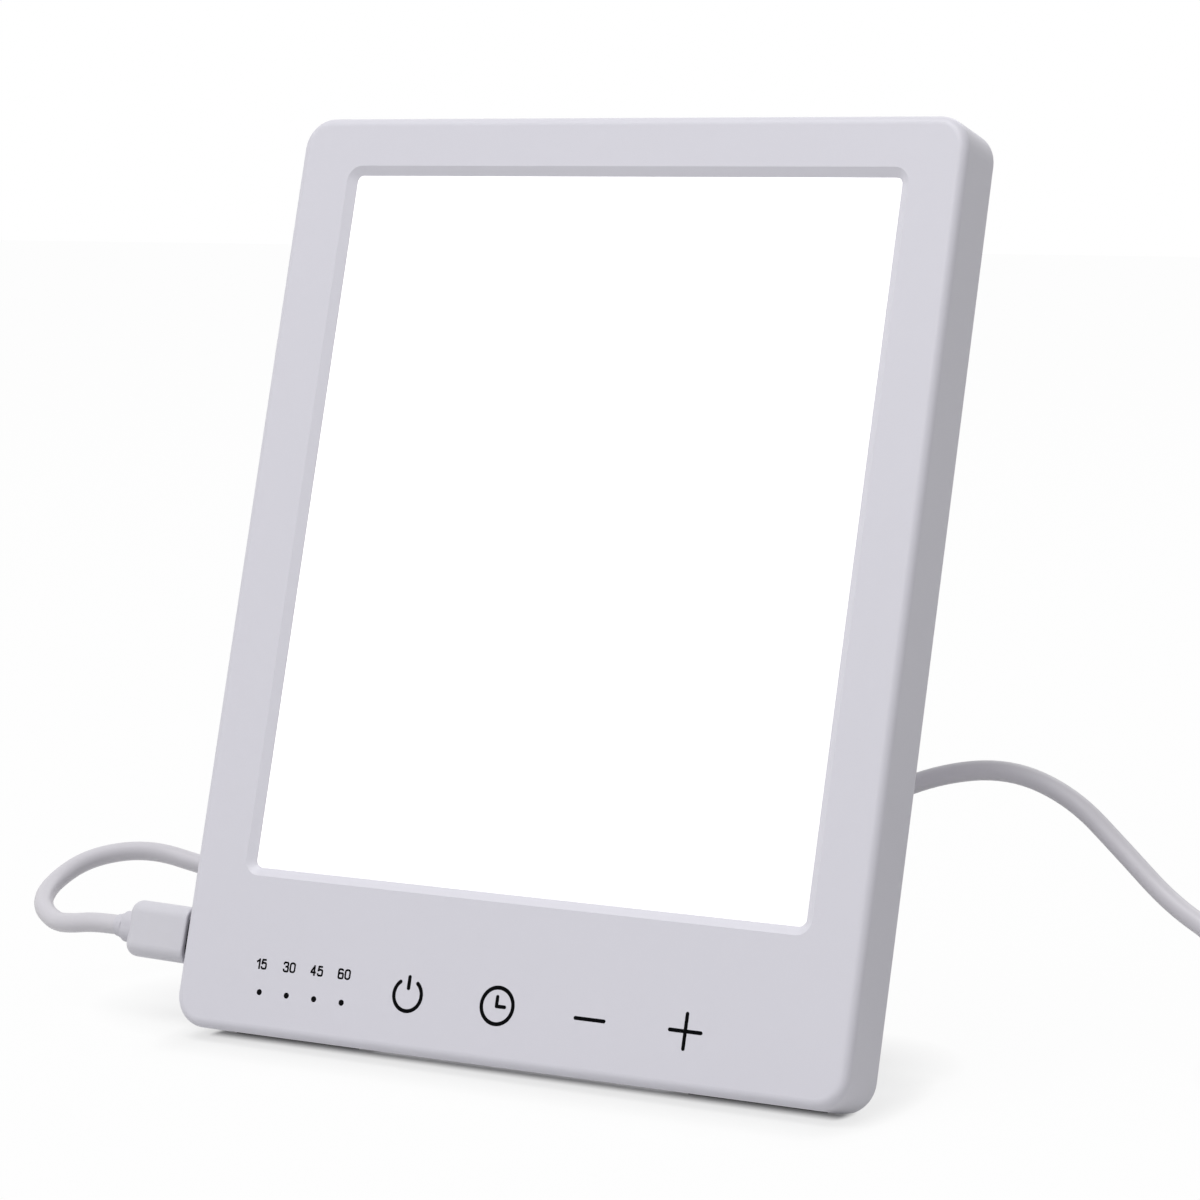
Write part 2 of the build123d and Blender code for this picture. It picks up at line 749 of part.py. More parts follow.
def make_cord(cord_start):
    coil_start = coil_point(coil_start_angle, coil_outer, coil_lift + 3 * cord_radius)
    leave_angle = coil_start_angle + 2 * coil_layer_turns * 360
    tail_start = coil_point(leave_angle, coil_outer, coil_lift + cord_radius)
    print("coil starts", [round(value, 1) for value in coil_start],
          "and leaves", [round(value, 1) for value in tail_start],
          "heading", round((leave_angle + 90) % 360, 1))
    tail = [tail_start] + tail_route
    last_run = Vector(*tail[-1]) - Vector(*tail[-2])
    heading = degrees(atan2(last_run.Y, last_run.X))
    pieces = {
        "cable": make_cord_tube([cord_start] + cord_route, "cable"),
        "cable_coil": make_cable_coil(),
        "cable_tail": make_cord_tube(tail, "cable tail"),
        "cable_tie": make_cable_tie(),
    }
    far_end = Pos(*tail[-1]) * Rot(0, 0, heading)
    for name, shape in make_plug_at_far_end().items():
        pieces[name] = far_end * shape
    return pieces


def main():
    lamp = {
        "front_frame": make_front_frame(),
        "rear_cover": make_rear_cover(),
        "diffuser_panel": make_diffuser(),
        "light_guide_plate": block(-stack_half, stack_half, guide_front, reflector_front,
                                   stack_bottom, stack_top),
        "reflector_sheet": block(-stack_half, stack_half, reflector_front, spreader_front,
                                 stack_bottom, stack_top),
        "heat_spreader": make_heat_spreader(),
        "led_strip_left": make_led_strip(-1),
        "led_strip_right": make_led_strip(1),
        "led_chips": make_led_chips(),
        "foam_strips": make_foam_strips(),
        "control_board": make_control_board(),
        "board_screws": make_board_screws(),
        "touch_pads": make_touch_pads(),
        "indicator_leds": make_indicator_leds(),
        "light_pipes": make_light_pipes(),
        "board_chips": make_board_chips(),
        "power_inductor": make_power_inductor(),
        "lead_sockets": make_lead_sockets(),
        "led_leads": make_led_leads(),
        "case_screws": make_case_screws(),
        "rubber_feet": make_rubber_feet(),
        "hinge_pins": make_hinge_pins(),
        "friction_washers": make_friction_washers(),
    }
    lamp["usb_socket_shell"], lamp["usb_socket_tongue"] = make_usb_socket()
    (lamp["usb_c_plug_body"], lamp["usb_c_plug_collar"], lamp["usb_c_plug_shell"],
     lamp["usb_c_strain_relief"]) = make_plug_at_lamp()
    stand = {"kickstand_leg": make_kickstand_leg(), "leg_foot_pad": make_leg_foot_pad()}

    lean = Pos(0, 0, lift) * Rot(-lean_angle, 0, 0)
    swing = lean * Pos(0, hinge_depth, hinge_height) * Rot(open_angle, 0, 0)
    front = (lean * lamp["front_frame"]).bounding_box().min.Y
    back = max((swing * shape).bounding_box().max.Y for shape in stand.values())
    centre = Pos(0, -(front + back) / 2, 0)
    placed = {name: (centre * lean, shape) for name, shape in lamp.items()}
    placed.update({name: (centre * swing, shape) for name, shape in stand.items()})
    cord_start = (centre * lean * plug_place * Pos(relief_end, port_depth, port_height)).position
    print("cord starts", [round(value, 2) for value in cord_start])
    placed.update({name: (Pos(0, 0, 0), shape) for name, shape in make_cord(tuple(cord_start)).items()})
    for name, (place, shape) in placed.items():
        copies = shape if isinstance(shape, list) else [shape]
        solids = [solid for copy in copies for solid in (place * copy).solids()]
        export_step(Compound(solids) if len(solids) > 1 else solids[0], f"parts/{name}.step")
    print("origin shift", -(front + back) / 2)


main()
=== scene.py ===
import bmesh
import bpy
import math
from mathutils import Matrix, Vector


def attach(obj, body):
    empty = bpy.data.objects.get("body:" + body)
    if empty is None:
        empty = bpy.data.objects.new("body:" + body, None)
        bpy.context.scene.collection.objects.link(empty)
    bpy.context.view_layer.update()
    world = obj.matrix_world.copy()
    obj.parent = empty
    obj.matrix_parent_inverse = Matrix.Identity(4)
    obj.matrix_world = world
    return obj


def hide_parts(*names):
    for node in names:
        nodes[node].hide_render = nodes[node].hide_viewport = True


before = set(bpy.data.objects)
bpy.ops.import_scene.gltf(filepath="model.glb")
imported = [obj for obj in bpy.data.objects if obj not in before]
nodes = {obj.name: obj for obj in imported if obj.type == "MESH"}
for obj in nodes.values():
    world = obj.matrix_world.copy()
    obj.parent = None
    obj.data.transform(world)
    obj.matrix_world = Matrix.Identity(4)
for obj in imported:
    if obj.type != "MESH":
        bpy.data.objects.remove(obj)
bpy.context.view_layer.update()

scene = bpy.context.scene
scene.view_settings.view_transform = "Standard"
print("loaded", len(nodes), "nodes")


# Lengths are in metres and angles in degrees throughout.
view = {
    "lens": 116.44,
    "place": (0.4031, -0.7055, 0.18797),
    "azimuth": 29.74,
    "elevation": 6.57,
}


def addCamera():
    data = bpy.data.cameras.new("viewCamera")
    data.sensor_width = 36
    data.lens = view["lens"]
    camera = bpy.data.objects.new("viewCamera", data)
    camera.location = view["place"]
    camera.rotation_euler = (math.radians(90 - view["elevation"]), 0, math.radians(view["azimuth"]))
    scene.collection.objects.link(camera)
    scene.camera = camera


addCamera()
print("camera placed")


# a Wire is one output socket, and sums of Wires add their own nodes
class Wire:
    def __init__(self, network, socket):
        self.network = network
        self.socket = socket

    # Wires from chosen outputs of the same node
    def outputs(self, *keys):
        return [Wire(self.network, self.socket.node.outputs[key]) for key in keys]

    def __add__(self, other):
        return self.network.maths("ADD", self, other)

    def __radd__(self, other):
        return self.network.maths("ADD", other, self)

    def __sub__(self, other):
        return self.network.maths("SUBTRACT", self, other)

    def __rsub__(self, other):
        return self.network.maths("SUBTRACT", other, self)

    def __mul__(self, other):
        return self.network.maths("MULTIPLY", self, other)

    def __rmul__(self, other):
        return self.network.maths("MULTIPLY", other, self)

    def __truediv__(self, other):
        return self.network.maths("DIVIDE", self, other)

    def __rtruediv__(self, other):
        return self.network.maths("DIVIDE", other, self)


# the nodes of a material or of the room
class Network:
    def __init__(self, tree):
        self.tree = tree

    # any node: its type, its settings, and the values or links of its sockets
    def add(self, kind, settings=None, values=None, output=0):
        node = self.tree.nodes.new(kind)
        for key, value in (settings or {}).items():
            if key == "stops":
                ramp = node.color_ramp
                for i, (position, shade) in enumerate(value):
                    stop = ramp.elements[i] if i < len(ramp.elements) else ramp.elements.new(position)
                    stop.position = position
                    stop.color = (shade, shade, shade, 1)
            else:
                setattr(node, key, value)
        for key, value in (values or {}).items():
            self.feed(node.inputs[key], value)
        return Wire(self, node.outputs[output])

    def feed(self, socket, value):
        if isinstance(value, Wire):
            self.tree.links.new(value.socket, socket)
        else:
            socket.default_value = value

    def maths(self, operation, *values):
        return self.add("ShaderNodeMath", {"operation": operation}, dict(enumerate(values)))

    def mixed(self, factor, first, second):
        return self.add("ShaderNodeMix", {"data_type": "RGBA"}, {0: factor, 6: first, 7: second}, 2)

    def ramp(self, factor, *stops):
        return self.add("ShaderNodeValToRGB", {"stops": stops}, {0: factor})


class Finish(Network):
    def __init__(self, name):
        self.material = bpy.data.materials.new(name)
        self.material.use_nodes = True
        super().__init__(self.material.node_tree)
        self.shader = self.tree.nodes["Principled BSDF"]
        self.place = self.add("ShaderNodeTexCoord", output="Object")

    # how far a point lies along X, Y and Z
    def ways(self):
        return self.add("ShaderNodeSeparateXYZ", {}, {0: self.place}).outputs(0, 1, 2)

    def set(self, **values):
        for key, value in values.items():
            self.feed(self.shader.inputs[key.replace("_", " ")], value)

    def noise(self, size, detail=2.0, stretch=None, seed=0.0):
        place = self.place
        if stretch or seed:
            place = self.add("ShaderNodeMapping", {}, {
                "Vector": self.place, "Location": (seed, seed, seed), "Scale": stretch or (1, 1, 1)})
        return self.add("ShaderNodeTexNoise", {}, {
            "Vector": place, "Scale": 1 / size, "Detail": detail})

    def bump(self, height, depth):
        self.set(Normal=self.add("ShaderNodeBump", {}, {
            "Strength": 1.0, "Distance": depth, "Height": height}))


def colour(rgb, shade=1.0):
    return tuple(min(1.0, c * shade) for c in rgb) + (1.0,)


# grain is how wide one speck of the moulded texture is
def mouldedPlastic(name, look):
    finish = Finish(name)
    cloud = finish.noise(look.get("cloud", 0.05), 2.0)
    fleck = finish.noise(look["grain"] * 6, 3.0, seed=0.3)
    grain = finish.noise(look["grain"], 2.0, seed=0.7)
    tone = cloud * 0.6 + fleck * 0.4
    spread = look.get("spread", 0.03)
    finish.set(Base_Color=finish.mixed(tone, colour(look["colour"], 1 - spread),
                                       colour(look["colour"], 1 + spread)),
               Roughness=look["roughness"] + (fleck - 0.5) * 0.12)
    finish.bump(grain * 0.75 + fleck * 0.25, look["grain"] * look.get("relief", 0.12))
    return finish.material


def glossyPlastic(name, look):
    finish = Finish(name)
    cloud = finish.noise(0.01, 3.0)
    smear = finish.noise(0.004, 4.0, seed=0.4)
    finish.set(Base_Color=finish.mixed(cloud, colour(look["colour"], 0.94),
                                       colour(look["colour"], 1.05)),
               Roughness=look["roughness"] + (smear - 0.5) * 0.1,
               Specular_IOR_Level=look.get("shine", 0.5))
    finish.bump(smear, 0.00001)
    return finish.material


def softRubber(name, look):
    finish = Finish(name)
    cloud = finish.noise(0.012, 3.0)
    pores = finish.noise(look["grain"], 3.0, seed=0.2)
    dust = finish.ramp(finish.noise(0.003, 5.0, seed=0.9), (0.45, 0.0), (0.75, 1.0))
    base = finish.mixed(cloud, colour(look["colour"], 0.92), colour(look["colour"], 1.08))
    finish.set(Base_Color=finish.mixed(dust * look["dust"], base, colour(look["dustColour"])),
               Roughness=look["roughness"] + (pores - 0.5) * 0.16)
    finish.bump(pores, look["grain"] * 0.2)
    return finish.material


def platedMetal(name, look):
    finish = Finish(name)
    brushed = finish.noise(look["grain"], 3.0, stretch=look.get("stretch", (1, 1, 0.06)))
    cloud = finish.noise(0.006, 3.0, seed=0.5)
    finish.set(Metallic=1.0,
               Base_Color=finish.mixed(cloud, colour(look["colour"], 0.9),
                                       colour(look["colour"], 1.06)),
               Roughness=look["roughness"] + (brushed - 0.5) * 0.18)
    finish.bump(brushed, look["grain"] * 0.04)
    return finish.material


# open-cell foam: small pits between thin walls, the pits painted darker and the walls lighter: painted
# shade in the pits
def cellFoam(name, look):
    finish = Finish(name)
    cells = finish.add("ShaderNodeTexVoronoi", {"feature": "DISTANCE_TO_EDGE"},
                       {"Vector": finish.place, "Scale": 1 / look["cell"]})
    walls = finish.ramp(cells, (0.0, 1.0), (0.25, 0.0))
    finish.set(Base_Color=finish.mixed(walls, colour(look["colour"], 0.55),
                                       colour(look["colour"], 1.25)),
               Roughness=0.9 - walls * 0.1)
    finish.bump(walls, look["cell"] * 0.4)
    return finish.material


# two crossed sets of threads, on a strap that may face any way; the threads' crowns are painted lighter
# and the dips between them darker, a painted highlight and shade, with lint at random
def wovenStrap(name, look):
    finish = Finish(name)
    across, deep, up = finish.ways()
    pitch = 2 * math.pi / look["thread"]
    first = finish.maths("SINE", (across + deep) * pitch)
    second = finish.maths("SINE", (up + across - deep) * pitch)
    weave = (first * second) * 0.5 + 0.5
    lint = finish.noise(0.0008, 4.0)
    shade = weave * 0.7 + lint * 0.3
    finish.set(Base_Color=finish.mixed(shade, colour(look["colour"], 0.6),
                                       colour(look["colour"], 1.4)),
               Roughness=0.85 + lint * 0.1)
    finish.bump(shade, look["thread"] * 0.3)
    return finish.material


# solder resist over copper: tracks show as a slightly lighter, raised net
def printedBoard(name, look):
    finish = Finish(name)
    tracks = finish.add("ShaderNodeTexBrick", {"offset": 0.35, "squash": 0.7}, {
        "Vector": finish.place, "Scale": 1.0, "Mortar Size": look["track"], "Mortar Smooth": 0.2,
        "Brick Width": look["pitch"] * 2.3, "Row Height": look["pitch"],
        "Color1": (0, 0, 0, 1), "Color2": (0, 0, 0, 1), "Mortar": (1, 1, 1, 1)})
    glass = finish.noise(0.0012, 2.0)
    base = finish.mixed(glass, colour(look["colour"], 0.85), colour(look["colour"], 1.15))
    finish.set(Base_Color=finish.mixed(tracks, base, colour(look["trackColour"])),
               Roughness=0.38 + (glass - 0.5) * 0.1)
    finish.bump(tracks + glass * 0.1, 0.00003)
    return finish.material


def ink(name, look):
    finish = Finish(name)
    cover = finish.noise(0.0006, 3.0)
    finish.set(Base_Color=finish.mixed(cover, colour(look["colour"], 0.8),
                                       colour(look["colour"], 1.3)),
               Roughness=look["roughness"] + (cover - 0.5) * 0.15, Specular_IOR_Level=look["shine"])
    finish.bump(cover, 0.000004)
    return finish.material


# the lit sheet, a shade warmer along its two sides, where its lights are
def litSheet(name, look):
    finish = Finish(name)
    cloud = finish.noise(0.03, 2.0)
    prism = finish.noise(look["grain"], 1.0, seed=0.6)
    across = finish.ways()[0]
    side = finish.maths("ABSOLUTE", across) / look["half"]
    edge = finish.ramp(side, (0.9, 0.0), (1.0, 1.0))
    finish.set(Base_Color=finish.mixed(cloud, colour(look["colour"], 0.97), colour(look["colour"])),
               Emission_Color=finish.mixed(edge, colour(look["glow"]), colour(look["edgeGlow"])),
               Emission_Strength=look["strength"],
               Roughness=look["roughness"] + (prism - 0.5) * 0.1)
    finish.bump(prism, look["grain"] * 0.1)
    return finish.material


# white packages with a yellow gel in the middle of each
def lampPackage(name, look):
    finish = Finish(name)
    cells = finish.add("ShaderNodeTexVoronoi", {"feature": "F1"},
                       {"Vector": finish.place, "Scale": 1 / look["pitch"]})
    gel = finish.ramp(cells, (0.2, 1.0), (0.45, 0.0))
    finish.set(Base_Color=finish.mixed(gel, colour(look["colour"]), colour(look["gel"])),
               Roughness=0.5 - gel * 0.3)
    finish.bump(gel, 0.00005)
    return finish.material


def dress(name, material):
    node = nodes[name]
    if not node.material_slots:
        node.data.materials.append(material)
    for slot in node.material_slots:
        slot.material = material


cord = {
    "length": 1.490,
    "diameter": 0.0043,
    "colour": (0.590, 0.575, 0.615),
    "route": [
        (-0.10264, -0.03241, 0.02022), (-0.10899, -0.03237, 0.02035), (-0.1159, -0.03203, 0.01921),
        (-0.12291, -0.02901, 0.01835), (-0.13146, -0.02304, 0.02048), (-0.13598, -0.01273, 0.02336),
        (-0.1338, -0.00127, 0.0277), (-0.12439, 0.00869, 0.0289), (-0.1115, 0.01295, 0.02509),
        (-0.0920, 0.01935, 0.02016), (-0.0670, 0.02885, 0.0219), (-0.0390, 0.04195, 0.02855),
        (-0.0090, 0.04075, 0.03535), (0.0190, 0.04015, 0.04035), (0.0420, 0.03985, 0.04815),
        (0.0590, 0.04035, 0.05625), (0.0760, 0.04095, 0.05904), (0.0910, 0.04035, 0.05409),
        (0.1035, 0.03815, 0.04394), (0.1155, 0.03495, 0.03444), (0.1285, 0.03035, 0.02911),
        (0.1395, 0.02615, 0.01775), (0.1495, 0.02255, 0.0098)],
    "coilCentre": (0.16936, 0.05055),
    "coilOuter": 0.0323,
    "coilPitch": 0.00435,
    "coilTurns": 3.5,         # in each of its two layers
    "coilStep": 4,            # how many points the line takes from one layer to the other
    "coilStart": -105.0,
    "coilHeights": (0.00767, 0.00337),
    "pointsPerTurn": 16,
    "tail": [(0.1705, 0.0168, 0.0040), (0.1801, 0.0149, 0.0040)],
}


# winds in over the top layer, steps down, and winds out below
def coilPoints():
    steps = round(cord["coilTurns"] * cord["pointsPerTurn"])
    outwards = 1 / math.cos(math.pi / cord["pointsPerTurn"])   # the line cuts inside its points
    top, low = cord["coilHeights"]
    points = []
    for i in range(2 * steps + 1):
        angle = math.radians(cord["coilStart"] + i * 360 / cord["pointsPerTurn"])
        turnsFromOutside = min(i, 2 * steps - i) / cord["pointsPerTurn"]
        radius = (cord["coilOuter"] - cord["coilPitch"] * turnsFromOutside) * outwards
        share = min(1.0, max(0.0, (i - steps) / cord["coilStep"] + 0.5))
        height = top + (low - top) * share
        points.append((cord["coilCentre"][0] + radius * math.cos(angle),
                       cord["coilCentre"][1] + radius * math.sin(angle), height))
    return points


def addCord():
    points = cord["route"] + coilPoints() + cord["tail"]
    curve = bpy.data.curves.new("powerCord", "CURVE")
    curve.dimensions = "3D"
    spline = curve.splines.new("NURBS")
    spline.points.add(len(points) - 1)
    for point, place in zip(spline.points, points):
        point.co = (*place, 1)
    spline.order_u = 3
    spline.use_endpoint_u = True
    spline.resolution_u = 8
    curve.bevel_depth = cord["diameter"] / 2
    curve.bevel_resolution = 5
    curve.use_fill_caps = True
    piece = bpy.data.objects.new("powerCord", curve)
    scene.collection.objects.link(piece)
    curve.materials.append(mouldedPlastic("cordJacket", {
        "colour": cord["colour"], "grain": 0.0003, "roughness": 0.42, "relief": 0.05, "cloud": 0.02}))
    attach(piece, "housing")
    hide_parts("cable", "cable_coil", "cable_tail")
    addTie()


def startPiece():
    if bpy.context.object and bpy.context.object.mode != "OBJECT":
        bpy.ops.object.mode_set(mode="OBJECT")
    bpy.ops.object.select_all(action="DESELECT")


def chooseVertices(test):
    mesh = bmesh.from_edit_mesh(bpy.context.object.data)
    bpy.ops.mesh.select_mode(type="VERT")
    for vertex in mesh.verts:
        vertex.select = bool(test(vertex.co))
    mesh.select_flush_mode()
    bmesh.update_edit_mesh(bpy.context.object.data)


def chooseEdges(test):
    mesh = bmesh.from_edit_mesh(bpy.context.object.data)
    bpy.ops.mesh.select_mode(type="EDGE")
    for edge in mesh.edges:
        edge.select = bool(test(edge))
    mesh.select_flush_mode()
    bmesh.update_edit_mesh(bpy.context.object.data)


# settles a piece's place into its mesh, names it and hands it to its body
def keepPiece(piece, name, body, material):
    startPiece()
    piece.select_set(True)
    bpy.context.view_layer.objects.active = piece
    bpy.ops.object.transform_apply(location=True, rotation=True, scale=True)
    piece.name = name
    piece.data.name = name
    piece.data.materials.clear()
    piece.data.materials.append(material)
    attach(piece, body)
    return piece


tie = {
    "angle": 45.0,
    "width": 0.006,
    "thickness": 0.0008,
    "corner": 0.002,
    "slack": 0.00005,
    "end": 0.009,             # how much of its free end lies over the top
    "endWidth": 0.00588,
    "endCorner": 0.001,
    "colour": (0.045, 0.045, 0.05),
    "thread": 0.0007,
}


# a loop of strap, open at both sides
def addBand(long, high):
    startPiece()
    bpy.ops.mesh.primitive_cube_add(size=1)
    band = bpy.context.object
    band.scale = (long, tie["width"], high)
    bpy.ops.object.transform_apply(scale=True)
    bpy.ops.object.mode_set(mode="EDIT")
    bpy.ops.mesh.select_mode(type="FACE")
    mesh = bmesh.from_edit_mesh(band.data)
    for side in mesh.faces:
        side.select = abs(side.normal.y) > 0.5
    bmesh.update_edit_mesh(band.data)
    bpy.ops.mesh.delete(type="ONLY_FACE")
    chooseEdges(lambda edge: abs(edge.verts[0].co.y - edge.verts[1].co.y) > tie["width"] / 2)
    bpy.ops.mesh.bevel(offset=tie["corner"], segments=8)
    bpy.ops.object.mode_set(mode="OBJECT")
    thick = band.modifiers.new("thick", "SOLIDIFY")
    thick.thickness = tie["thickness"]
    thick.offset = 1
    bpy.ops.object.modifier_apply(modifier=thick.name)
    return band


# the strap's free end, which lies on its loop
def addFreeEnd(long, high):
    startPiece()
    bpy.ops.mesh.primitive_cube_add(size=1, location=(
        long / 2 - tie["corner"] - tie["end"] / 2, 0, high / 2 + tie["thickness"] * 1.5))
    end = bpy.context.object
    end.scale = (tie["end"], tie["endWidth"], tie["thickness"])
    bpy.ops.object.transform_apply(location=True, scale=True)
    bpy.ops.object.mode_set(mode="EDIT")
    chooseEdges(lambda edge: abs(edge.verts[0].co.z - edge.verts[1].co.z) > tie["thickness"] / 2)
    bpy.ops.mesh.bevel(offset=tie["endCorner"], segments=5)
    bpy.ops.object.mode_set(mode="OBJECT")


# the strap is drawn tight round the winding
def addTie():
    turned = (tie["angle"] - cord["coilStart"]) / 360
    outer = cord["coilOuter"] - cord["coilPitch"] * turned
    inner = outer - cord["coilPitch"] * math.floor(cord["coilTurns"] - turned)
    top, low = cord["coilHeights"]
    around = cord["diameter"] + 2 * tie["slack"]
    long, high = outer - inner + around, top - low + around
    band = addBand(long, high)
    addFreeEnd(long, high)
    band.select_set(True)
    bpy.context.view_layer.objects.active = band
    bpy.ops.object.join()
    rims = band.modifiers.new("rims", "BEVEL")
    rims.width = tie["thickness"] / 6
    rims.segments = 2
    bpy.ops.object.modifier_apply(modifier=rims.name)
    band.matrix_world = (Matrix.Translation((*cord["coilCentre"], (top + low) / 2))
                         @ Matrix.Rotation(math.radians(tie["angle"]), 4, "Z")
                         @ Matrix.Translation(((outer + inner) / 2, 0, 0)))
    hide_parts("cable_tie")
    return keepPiece(band, "tieStrap", "housing", wovenStrap("tieWeave", tie))


addCord()
print("cord laid")


# places on the face are across from its middle, and up from its bottom edge
face = {"lean": 15.9, "bottom": (0, -0.0450004, 0.0034094)}
printing = {
    "thickness": 0.00003,
    "crossing": 0.000002,     # how much thicker a stroke is that crosses another
    "endSides": 20,
    "arcCuts": 59,
    "ringSides": 64,
    "colour": (0.0022, 0.0024, 0.003),
    "roughness": 0.6,
    "shine": 0.02,
}
printInk = ink("keyInk", printing)


def onFace(across, up):
    lean = Matrix.Translation(face["bottom"]) @ Matrix.Rotation(math.radians(-face["lean"]), 4, "X")
    return lean @ Matrix.Rotation(math.radians(90), 4, "X") @ Matrix.Translation((across, up, 0))


# a line with round ends, lying along X, or curled into an arc round the point above its middle
def addStroke(length, width, radius=None, crosses=False):
    startPiece()
    sides = printing["endSides"]
    thickness = printing["thickness"] + (printing["crossing"] if crosses else 0)
    bpy.ops.mesh.primitive_circle_add(vertices=sides, radius=width / 2, fill_type="NOTHING",
                                      rotation=(0, 0, math.pi / sides))
    bpy.ops.object.transform_apply(rotation=True)
    stroke = bpy.context.object
    bpy.ops.object.mode_set(mode="EDIT")
    for side in (-1, 1):
        chooseVertices(lambda co: co.x * side > 0)
        bpy.ops.transform.translate(value=(side * length / 2, 0, 0))
    if radius:
        chooseEdges(lambda edge: edge.calc_length() > length / 2)
        bpy.ops.mesh.subdivide(number_cuts=printing["arcCuts"])
    bpy.ops.mesh.select_all(action="SELECT")
    bpy.ops.mesh.edge_face_add()
    bpy.ops.mesh.extrude_region_move(TRANSFORM_OT_translate={"value": (0, 0, thickness)})
    bpy.ops.mesh.select_all(action="SELECT")
    bpy.ops.mesh.normals_make_consistent(inside=False)
    bpy.ops.object.mode_set(mode="OBJECT")
    if radius:
        curl = stroke.modifiers.new("curl", "SIMPLE_DEFORM")
        curl.deform_method = "BEND"
        curl.deform_axis = "Z"
        curl.angle = (length + width) / radius
        bpy.ops.object.modifier_apply(modifier=curl.name)
    return stroke


def addRing(radius, width):
    startPiece()
    bpy.ops.mesh.primitive_circle_add(vertices=printing["ringSides"], radius=radius + width / 2,
                                      fill_type="NOTHING")
    ring = bpy.context.object
    bpy.ops.object.mode_set(mode="EDIT")
    bpy.ops.mesh.select_all(action="SELECT")
    bpy.ops.mesh.extrude_region_move(TRANSFORM_OT_translate={"value": (0, 0, 0)})
    inner = (radius - width / 2) / (radius + width / 2)
    bpy.ops.transform.resize(value=(inner, inner, 1), center_override=(0, 0, 0))
    bpy.ops.mesh.select_all(action="SELECT")
    bpy.ops.mesh.extrude_region_move(TRANSFORM_OT_translate={"value": (0, 0, printing["thickness"])})
    bpy.ops.mesh.select_all(action="SELECT")
    bpy.ops.mesh.normals_make_consistent(inside=False)
    bpy.ops.object.mode_set(mode="OBJECT")
    return ring


def joinSymbol(name, strokes, across, up):
    startPiece()
    for stroke, shift, turn in strokes:
        stroke.matrix_world = (onFace(across + shift[0], up + shift[1])
                               @ Matrix.Rotation(math.radians(turn), 4, "Z"))
        stroke.select_set(True)
    symbol = strokes[0][0]
    bpy.context.view_layer.objects.active = symbol
    if len(strokes) > 1:
        bpy.ops.object.join()
    keepPiece(symbol, name, "housing", printInk)


powerKey = {
    "place": (-0.02195, 0.0122),
    "radius": 0.00332,
    "width": 0.00082,
    "gap": 78.0,
    "stick": (0.00143, 0.00374),    # the stick's ends, up from the ring's middle
}


def addPowerSymbol():
    arc = math.radians(360 - powerKey["gap"]) * powerKey["radius"]
    low, high = powerKey["stick"]
    joinSymbol("powerSymbol", [
        (addStroke(arc, powerKey["width"], powerKey["radius"]), (0, -powerKey["radius"]), 0),
        (addStroke(high - low, powerKey["width"], crosses=True), (0, (low + high) / 2), 90)],
        *powerKey["place"])


timerKey = {
    "place": (-0.00033, 0.0123),
    "radius": 0.00373,
    "width": 0.00082,
    "hand": 0.00078,
    "hourHand": 0.0019,
    "minuteHand": 0.00195,
    "handsMeet": (-0.00015, -0.0001),    # from the ring's middle
}


def addTimerSymbol():
    across, up = timerKey["handsMeet"]
    hour, minute = timerKey["hourHand"], timerKey["minuteHand"]
    joinSymbol("timerSymbol", [
        (addRing(timerKey["radius"], timerKey["width"]), (0, 0), 0),
        (addStroke(hour, timerKey["hand"]), (across + hour / 2, up), 0),
        (addStroke(minute, timerKey["hand"], crosses=True), (across, up + minute / 2), 90)],
        *timerKey["place"])


stepKeys = {
    "minus": (0.02146, 0.01189),
    "plus": (0.04334, 0.01198),
    "minusLength": 0.00662,
    "plusLength": 0.007,
    "width": 0.00079,
}


def addStepSymbols():
    width = stepKeys["width"]
    joinSymbol("minusSymbol", [(addStroke(stepKeys["minusLength"], width), (0, 0), 0)],
               *stepKeys["minus"])
    joinSymbol("plusSymbol", [
        (addStroke(stepKeys["plusLength"], width), (0, 0), 0),
        (addStroke(stepKeys["plusLength"], width, crosses=True), (0, 0), 90)], *stepKeys["plus"])


# each digit is its width and its lines, as a share of the widest digit and of its height
minutes = {
    "up": 0.01484,
    "height": 0.0023,
    "digitWidth": 0.00154,
    "gap": 0.00013,
    "line": 0.00043,
    "marks": [("15", -0.05895), ("30", -0.05188), ("45", -0.04493), ("60", -0.03805)],
    "digits": {
        "0": (1.0, [("oval", [(0, 0), (1, 0), (1, 0.5), (1, 1), (0, 1), (0, 0.5)])]),
        "1": (0.58, [("straight", [(0.58, -0.1), (0.58, 1.1)]),
                     ("curved", [(0.58, 1.0), (0.36, 0.82), (-0.08, 0.7)])]),
        "3": (1.0, [("curved", [(0.02, 0.74), (0.06, 1), (0.5, 1), (0.94, 1), (0.94, 0.77),
                                (0.94, 0.54), (0.36, 0.54)]),
                    ("curved", [(0.36, 0.54), (1, 0.56), (1, 0.27), (1, 0), (0.5, 0), (0.04, 0),
                                (0, 0.28)])]),
        "4": (1.0, [("straight", [(0.72, -0.1), (0.72, 1.08)]),
                    ("straight", [(0.72, 1.0), (-0.02, 0.3)]),
                    ("straight", [(-0.14, 0.28), (1.1, 0.28)])]),
        "5": (1.0, [("straight", [(1.0, 1.0), (0.12, 1.0)]), ("straight", [(0.2, 1.06), (0.08, 0.46)]),
                    ("curved", [(0.08, 0.5), (0.3, 0.66), (0.55, 0.66), (1, 0.64), (1, 0.32), (1, 0),
                                (0.5, 0), (0.04, 0), (0, 0.26)])]),
        "6": (1.0, [("curved", [(0.95, 0.84), (0.86, 1), (0.52, 1), (0, 1), (0, 0.45), (0, 0),
                                (0.5, 0), (1, 0), (1, 0.29), (1, 0.57), (0.52, 0.57), (0.12, 0.57),
                                (0.03, 0.36)])]),
    },
}


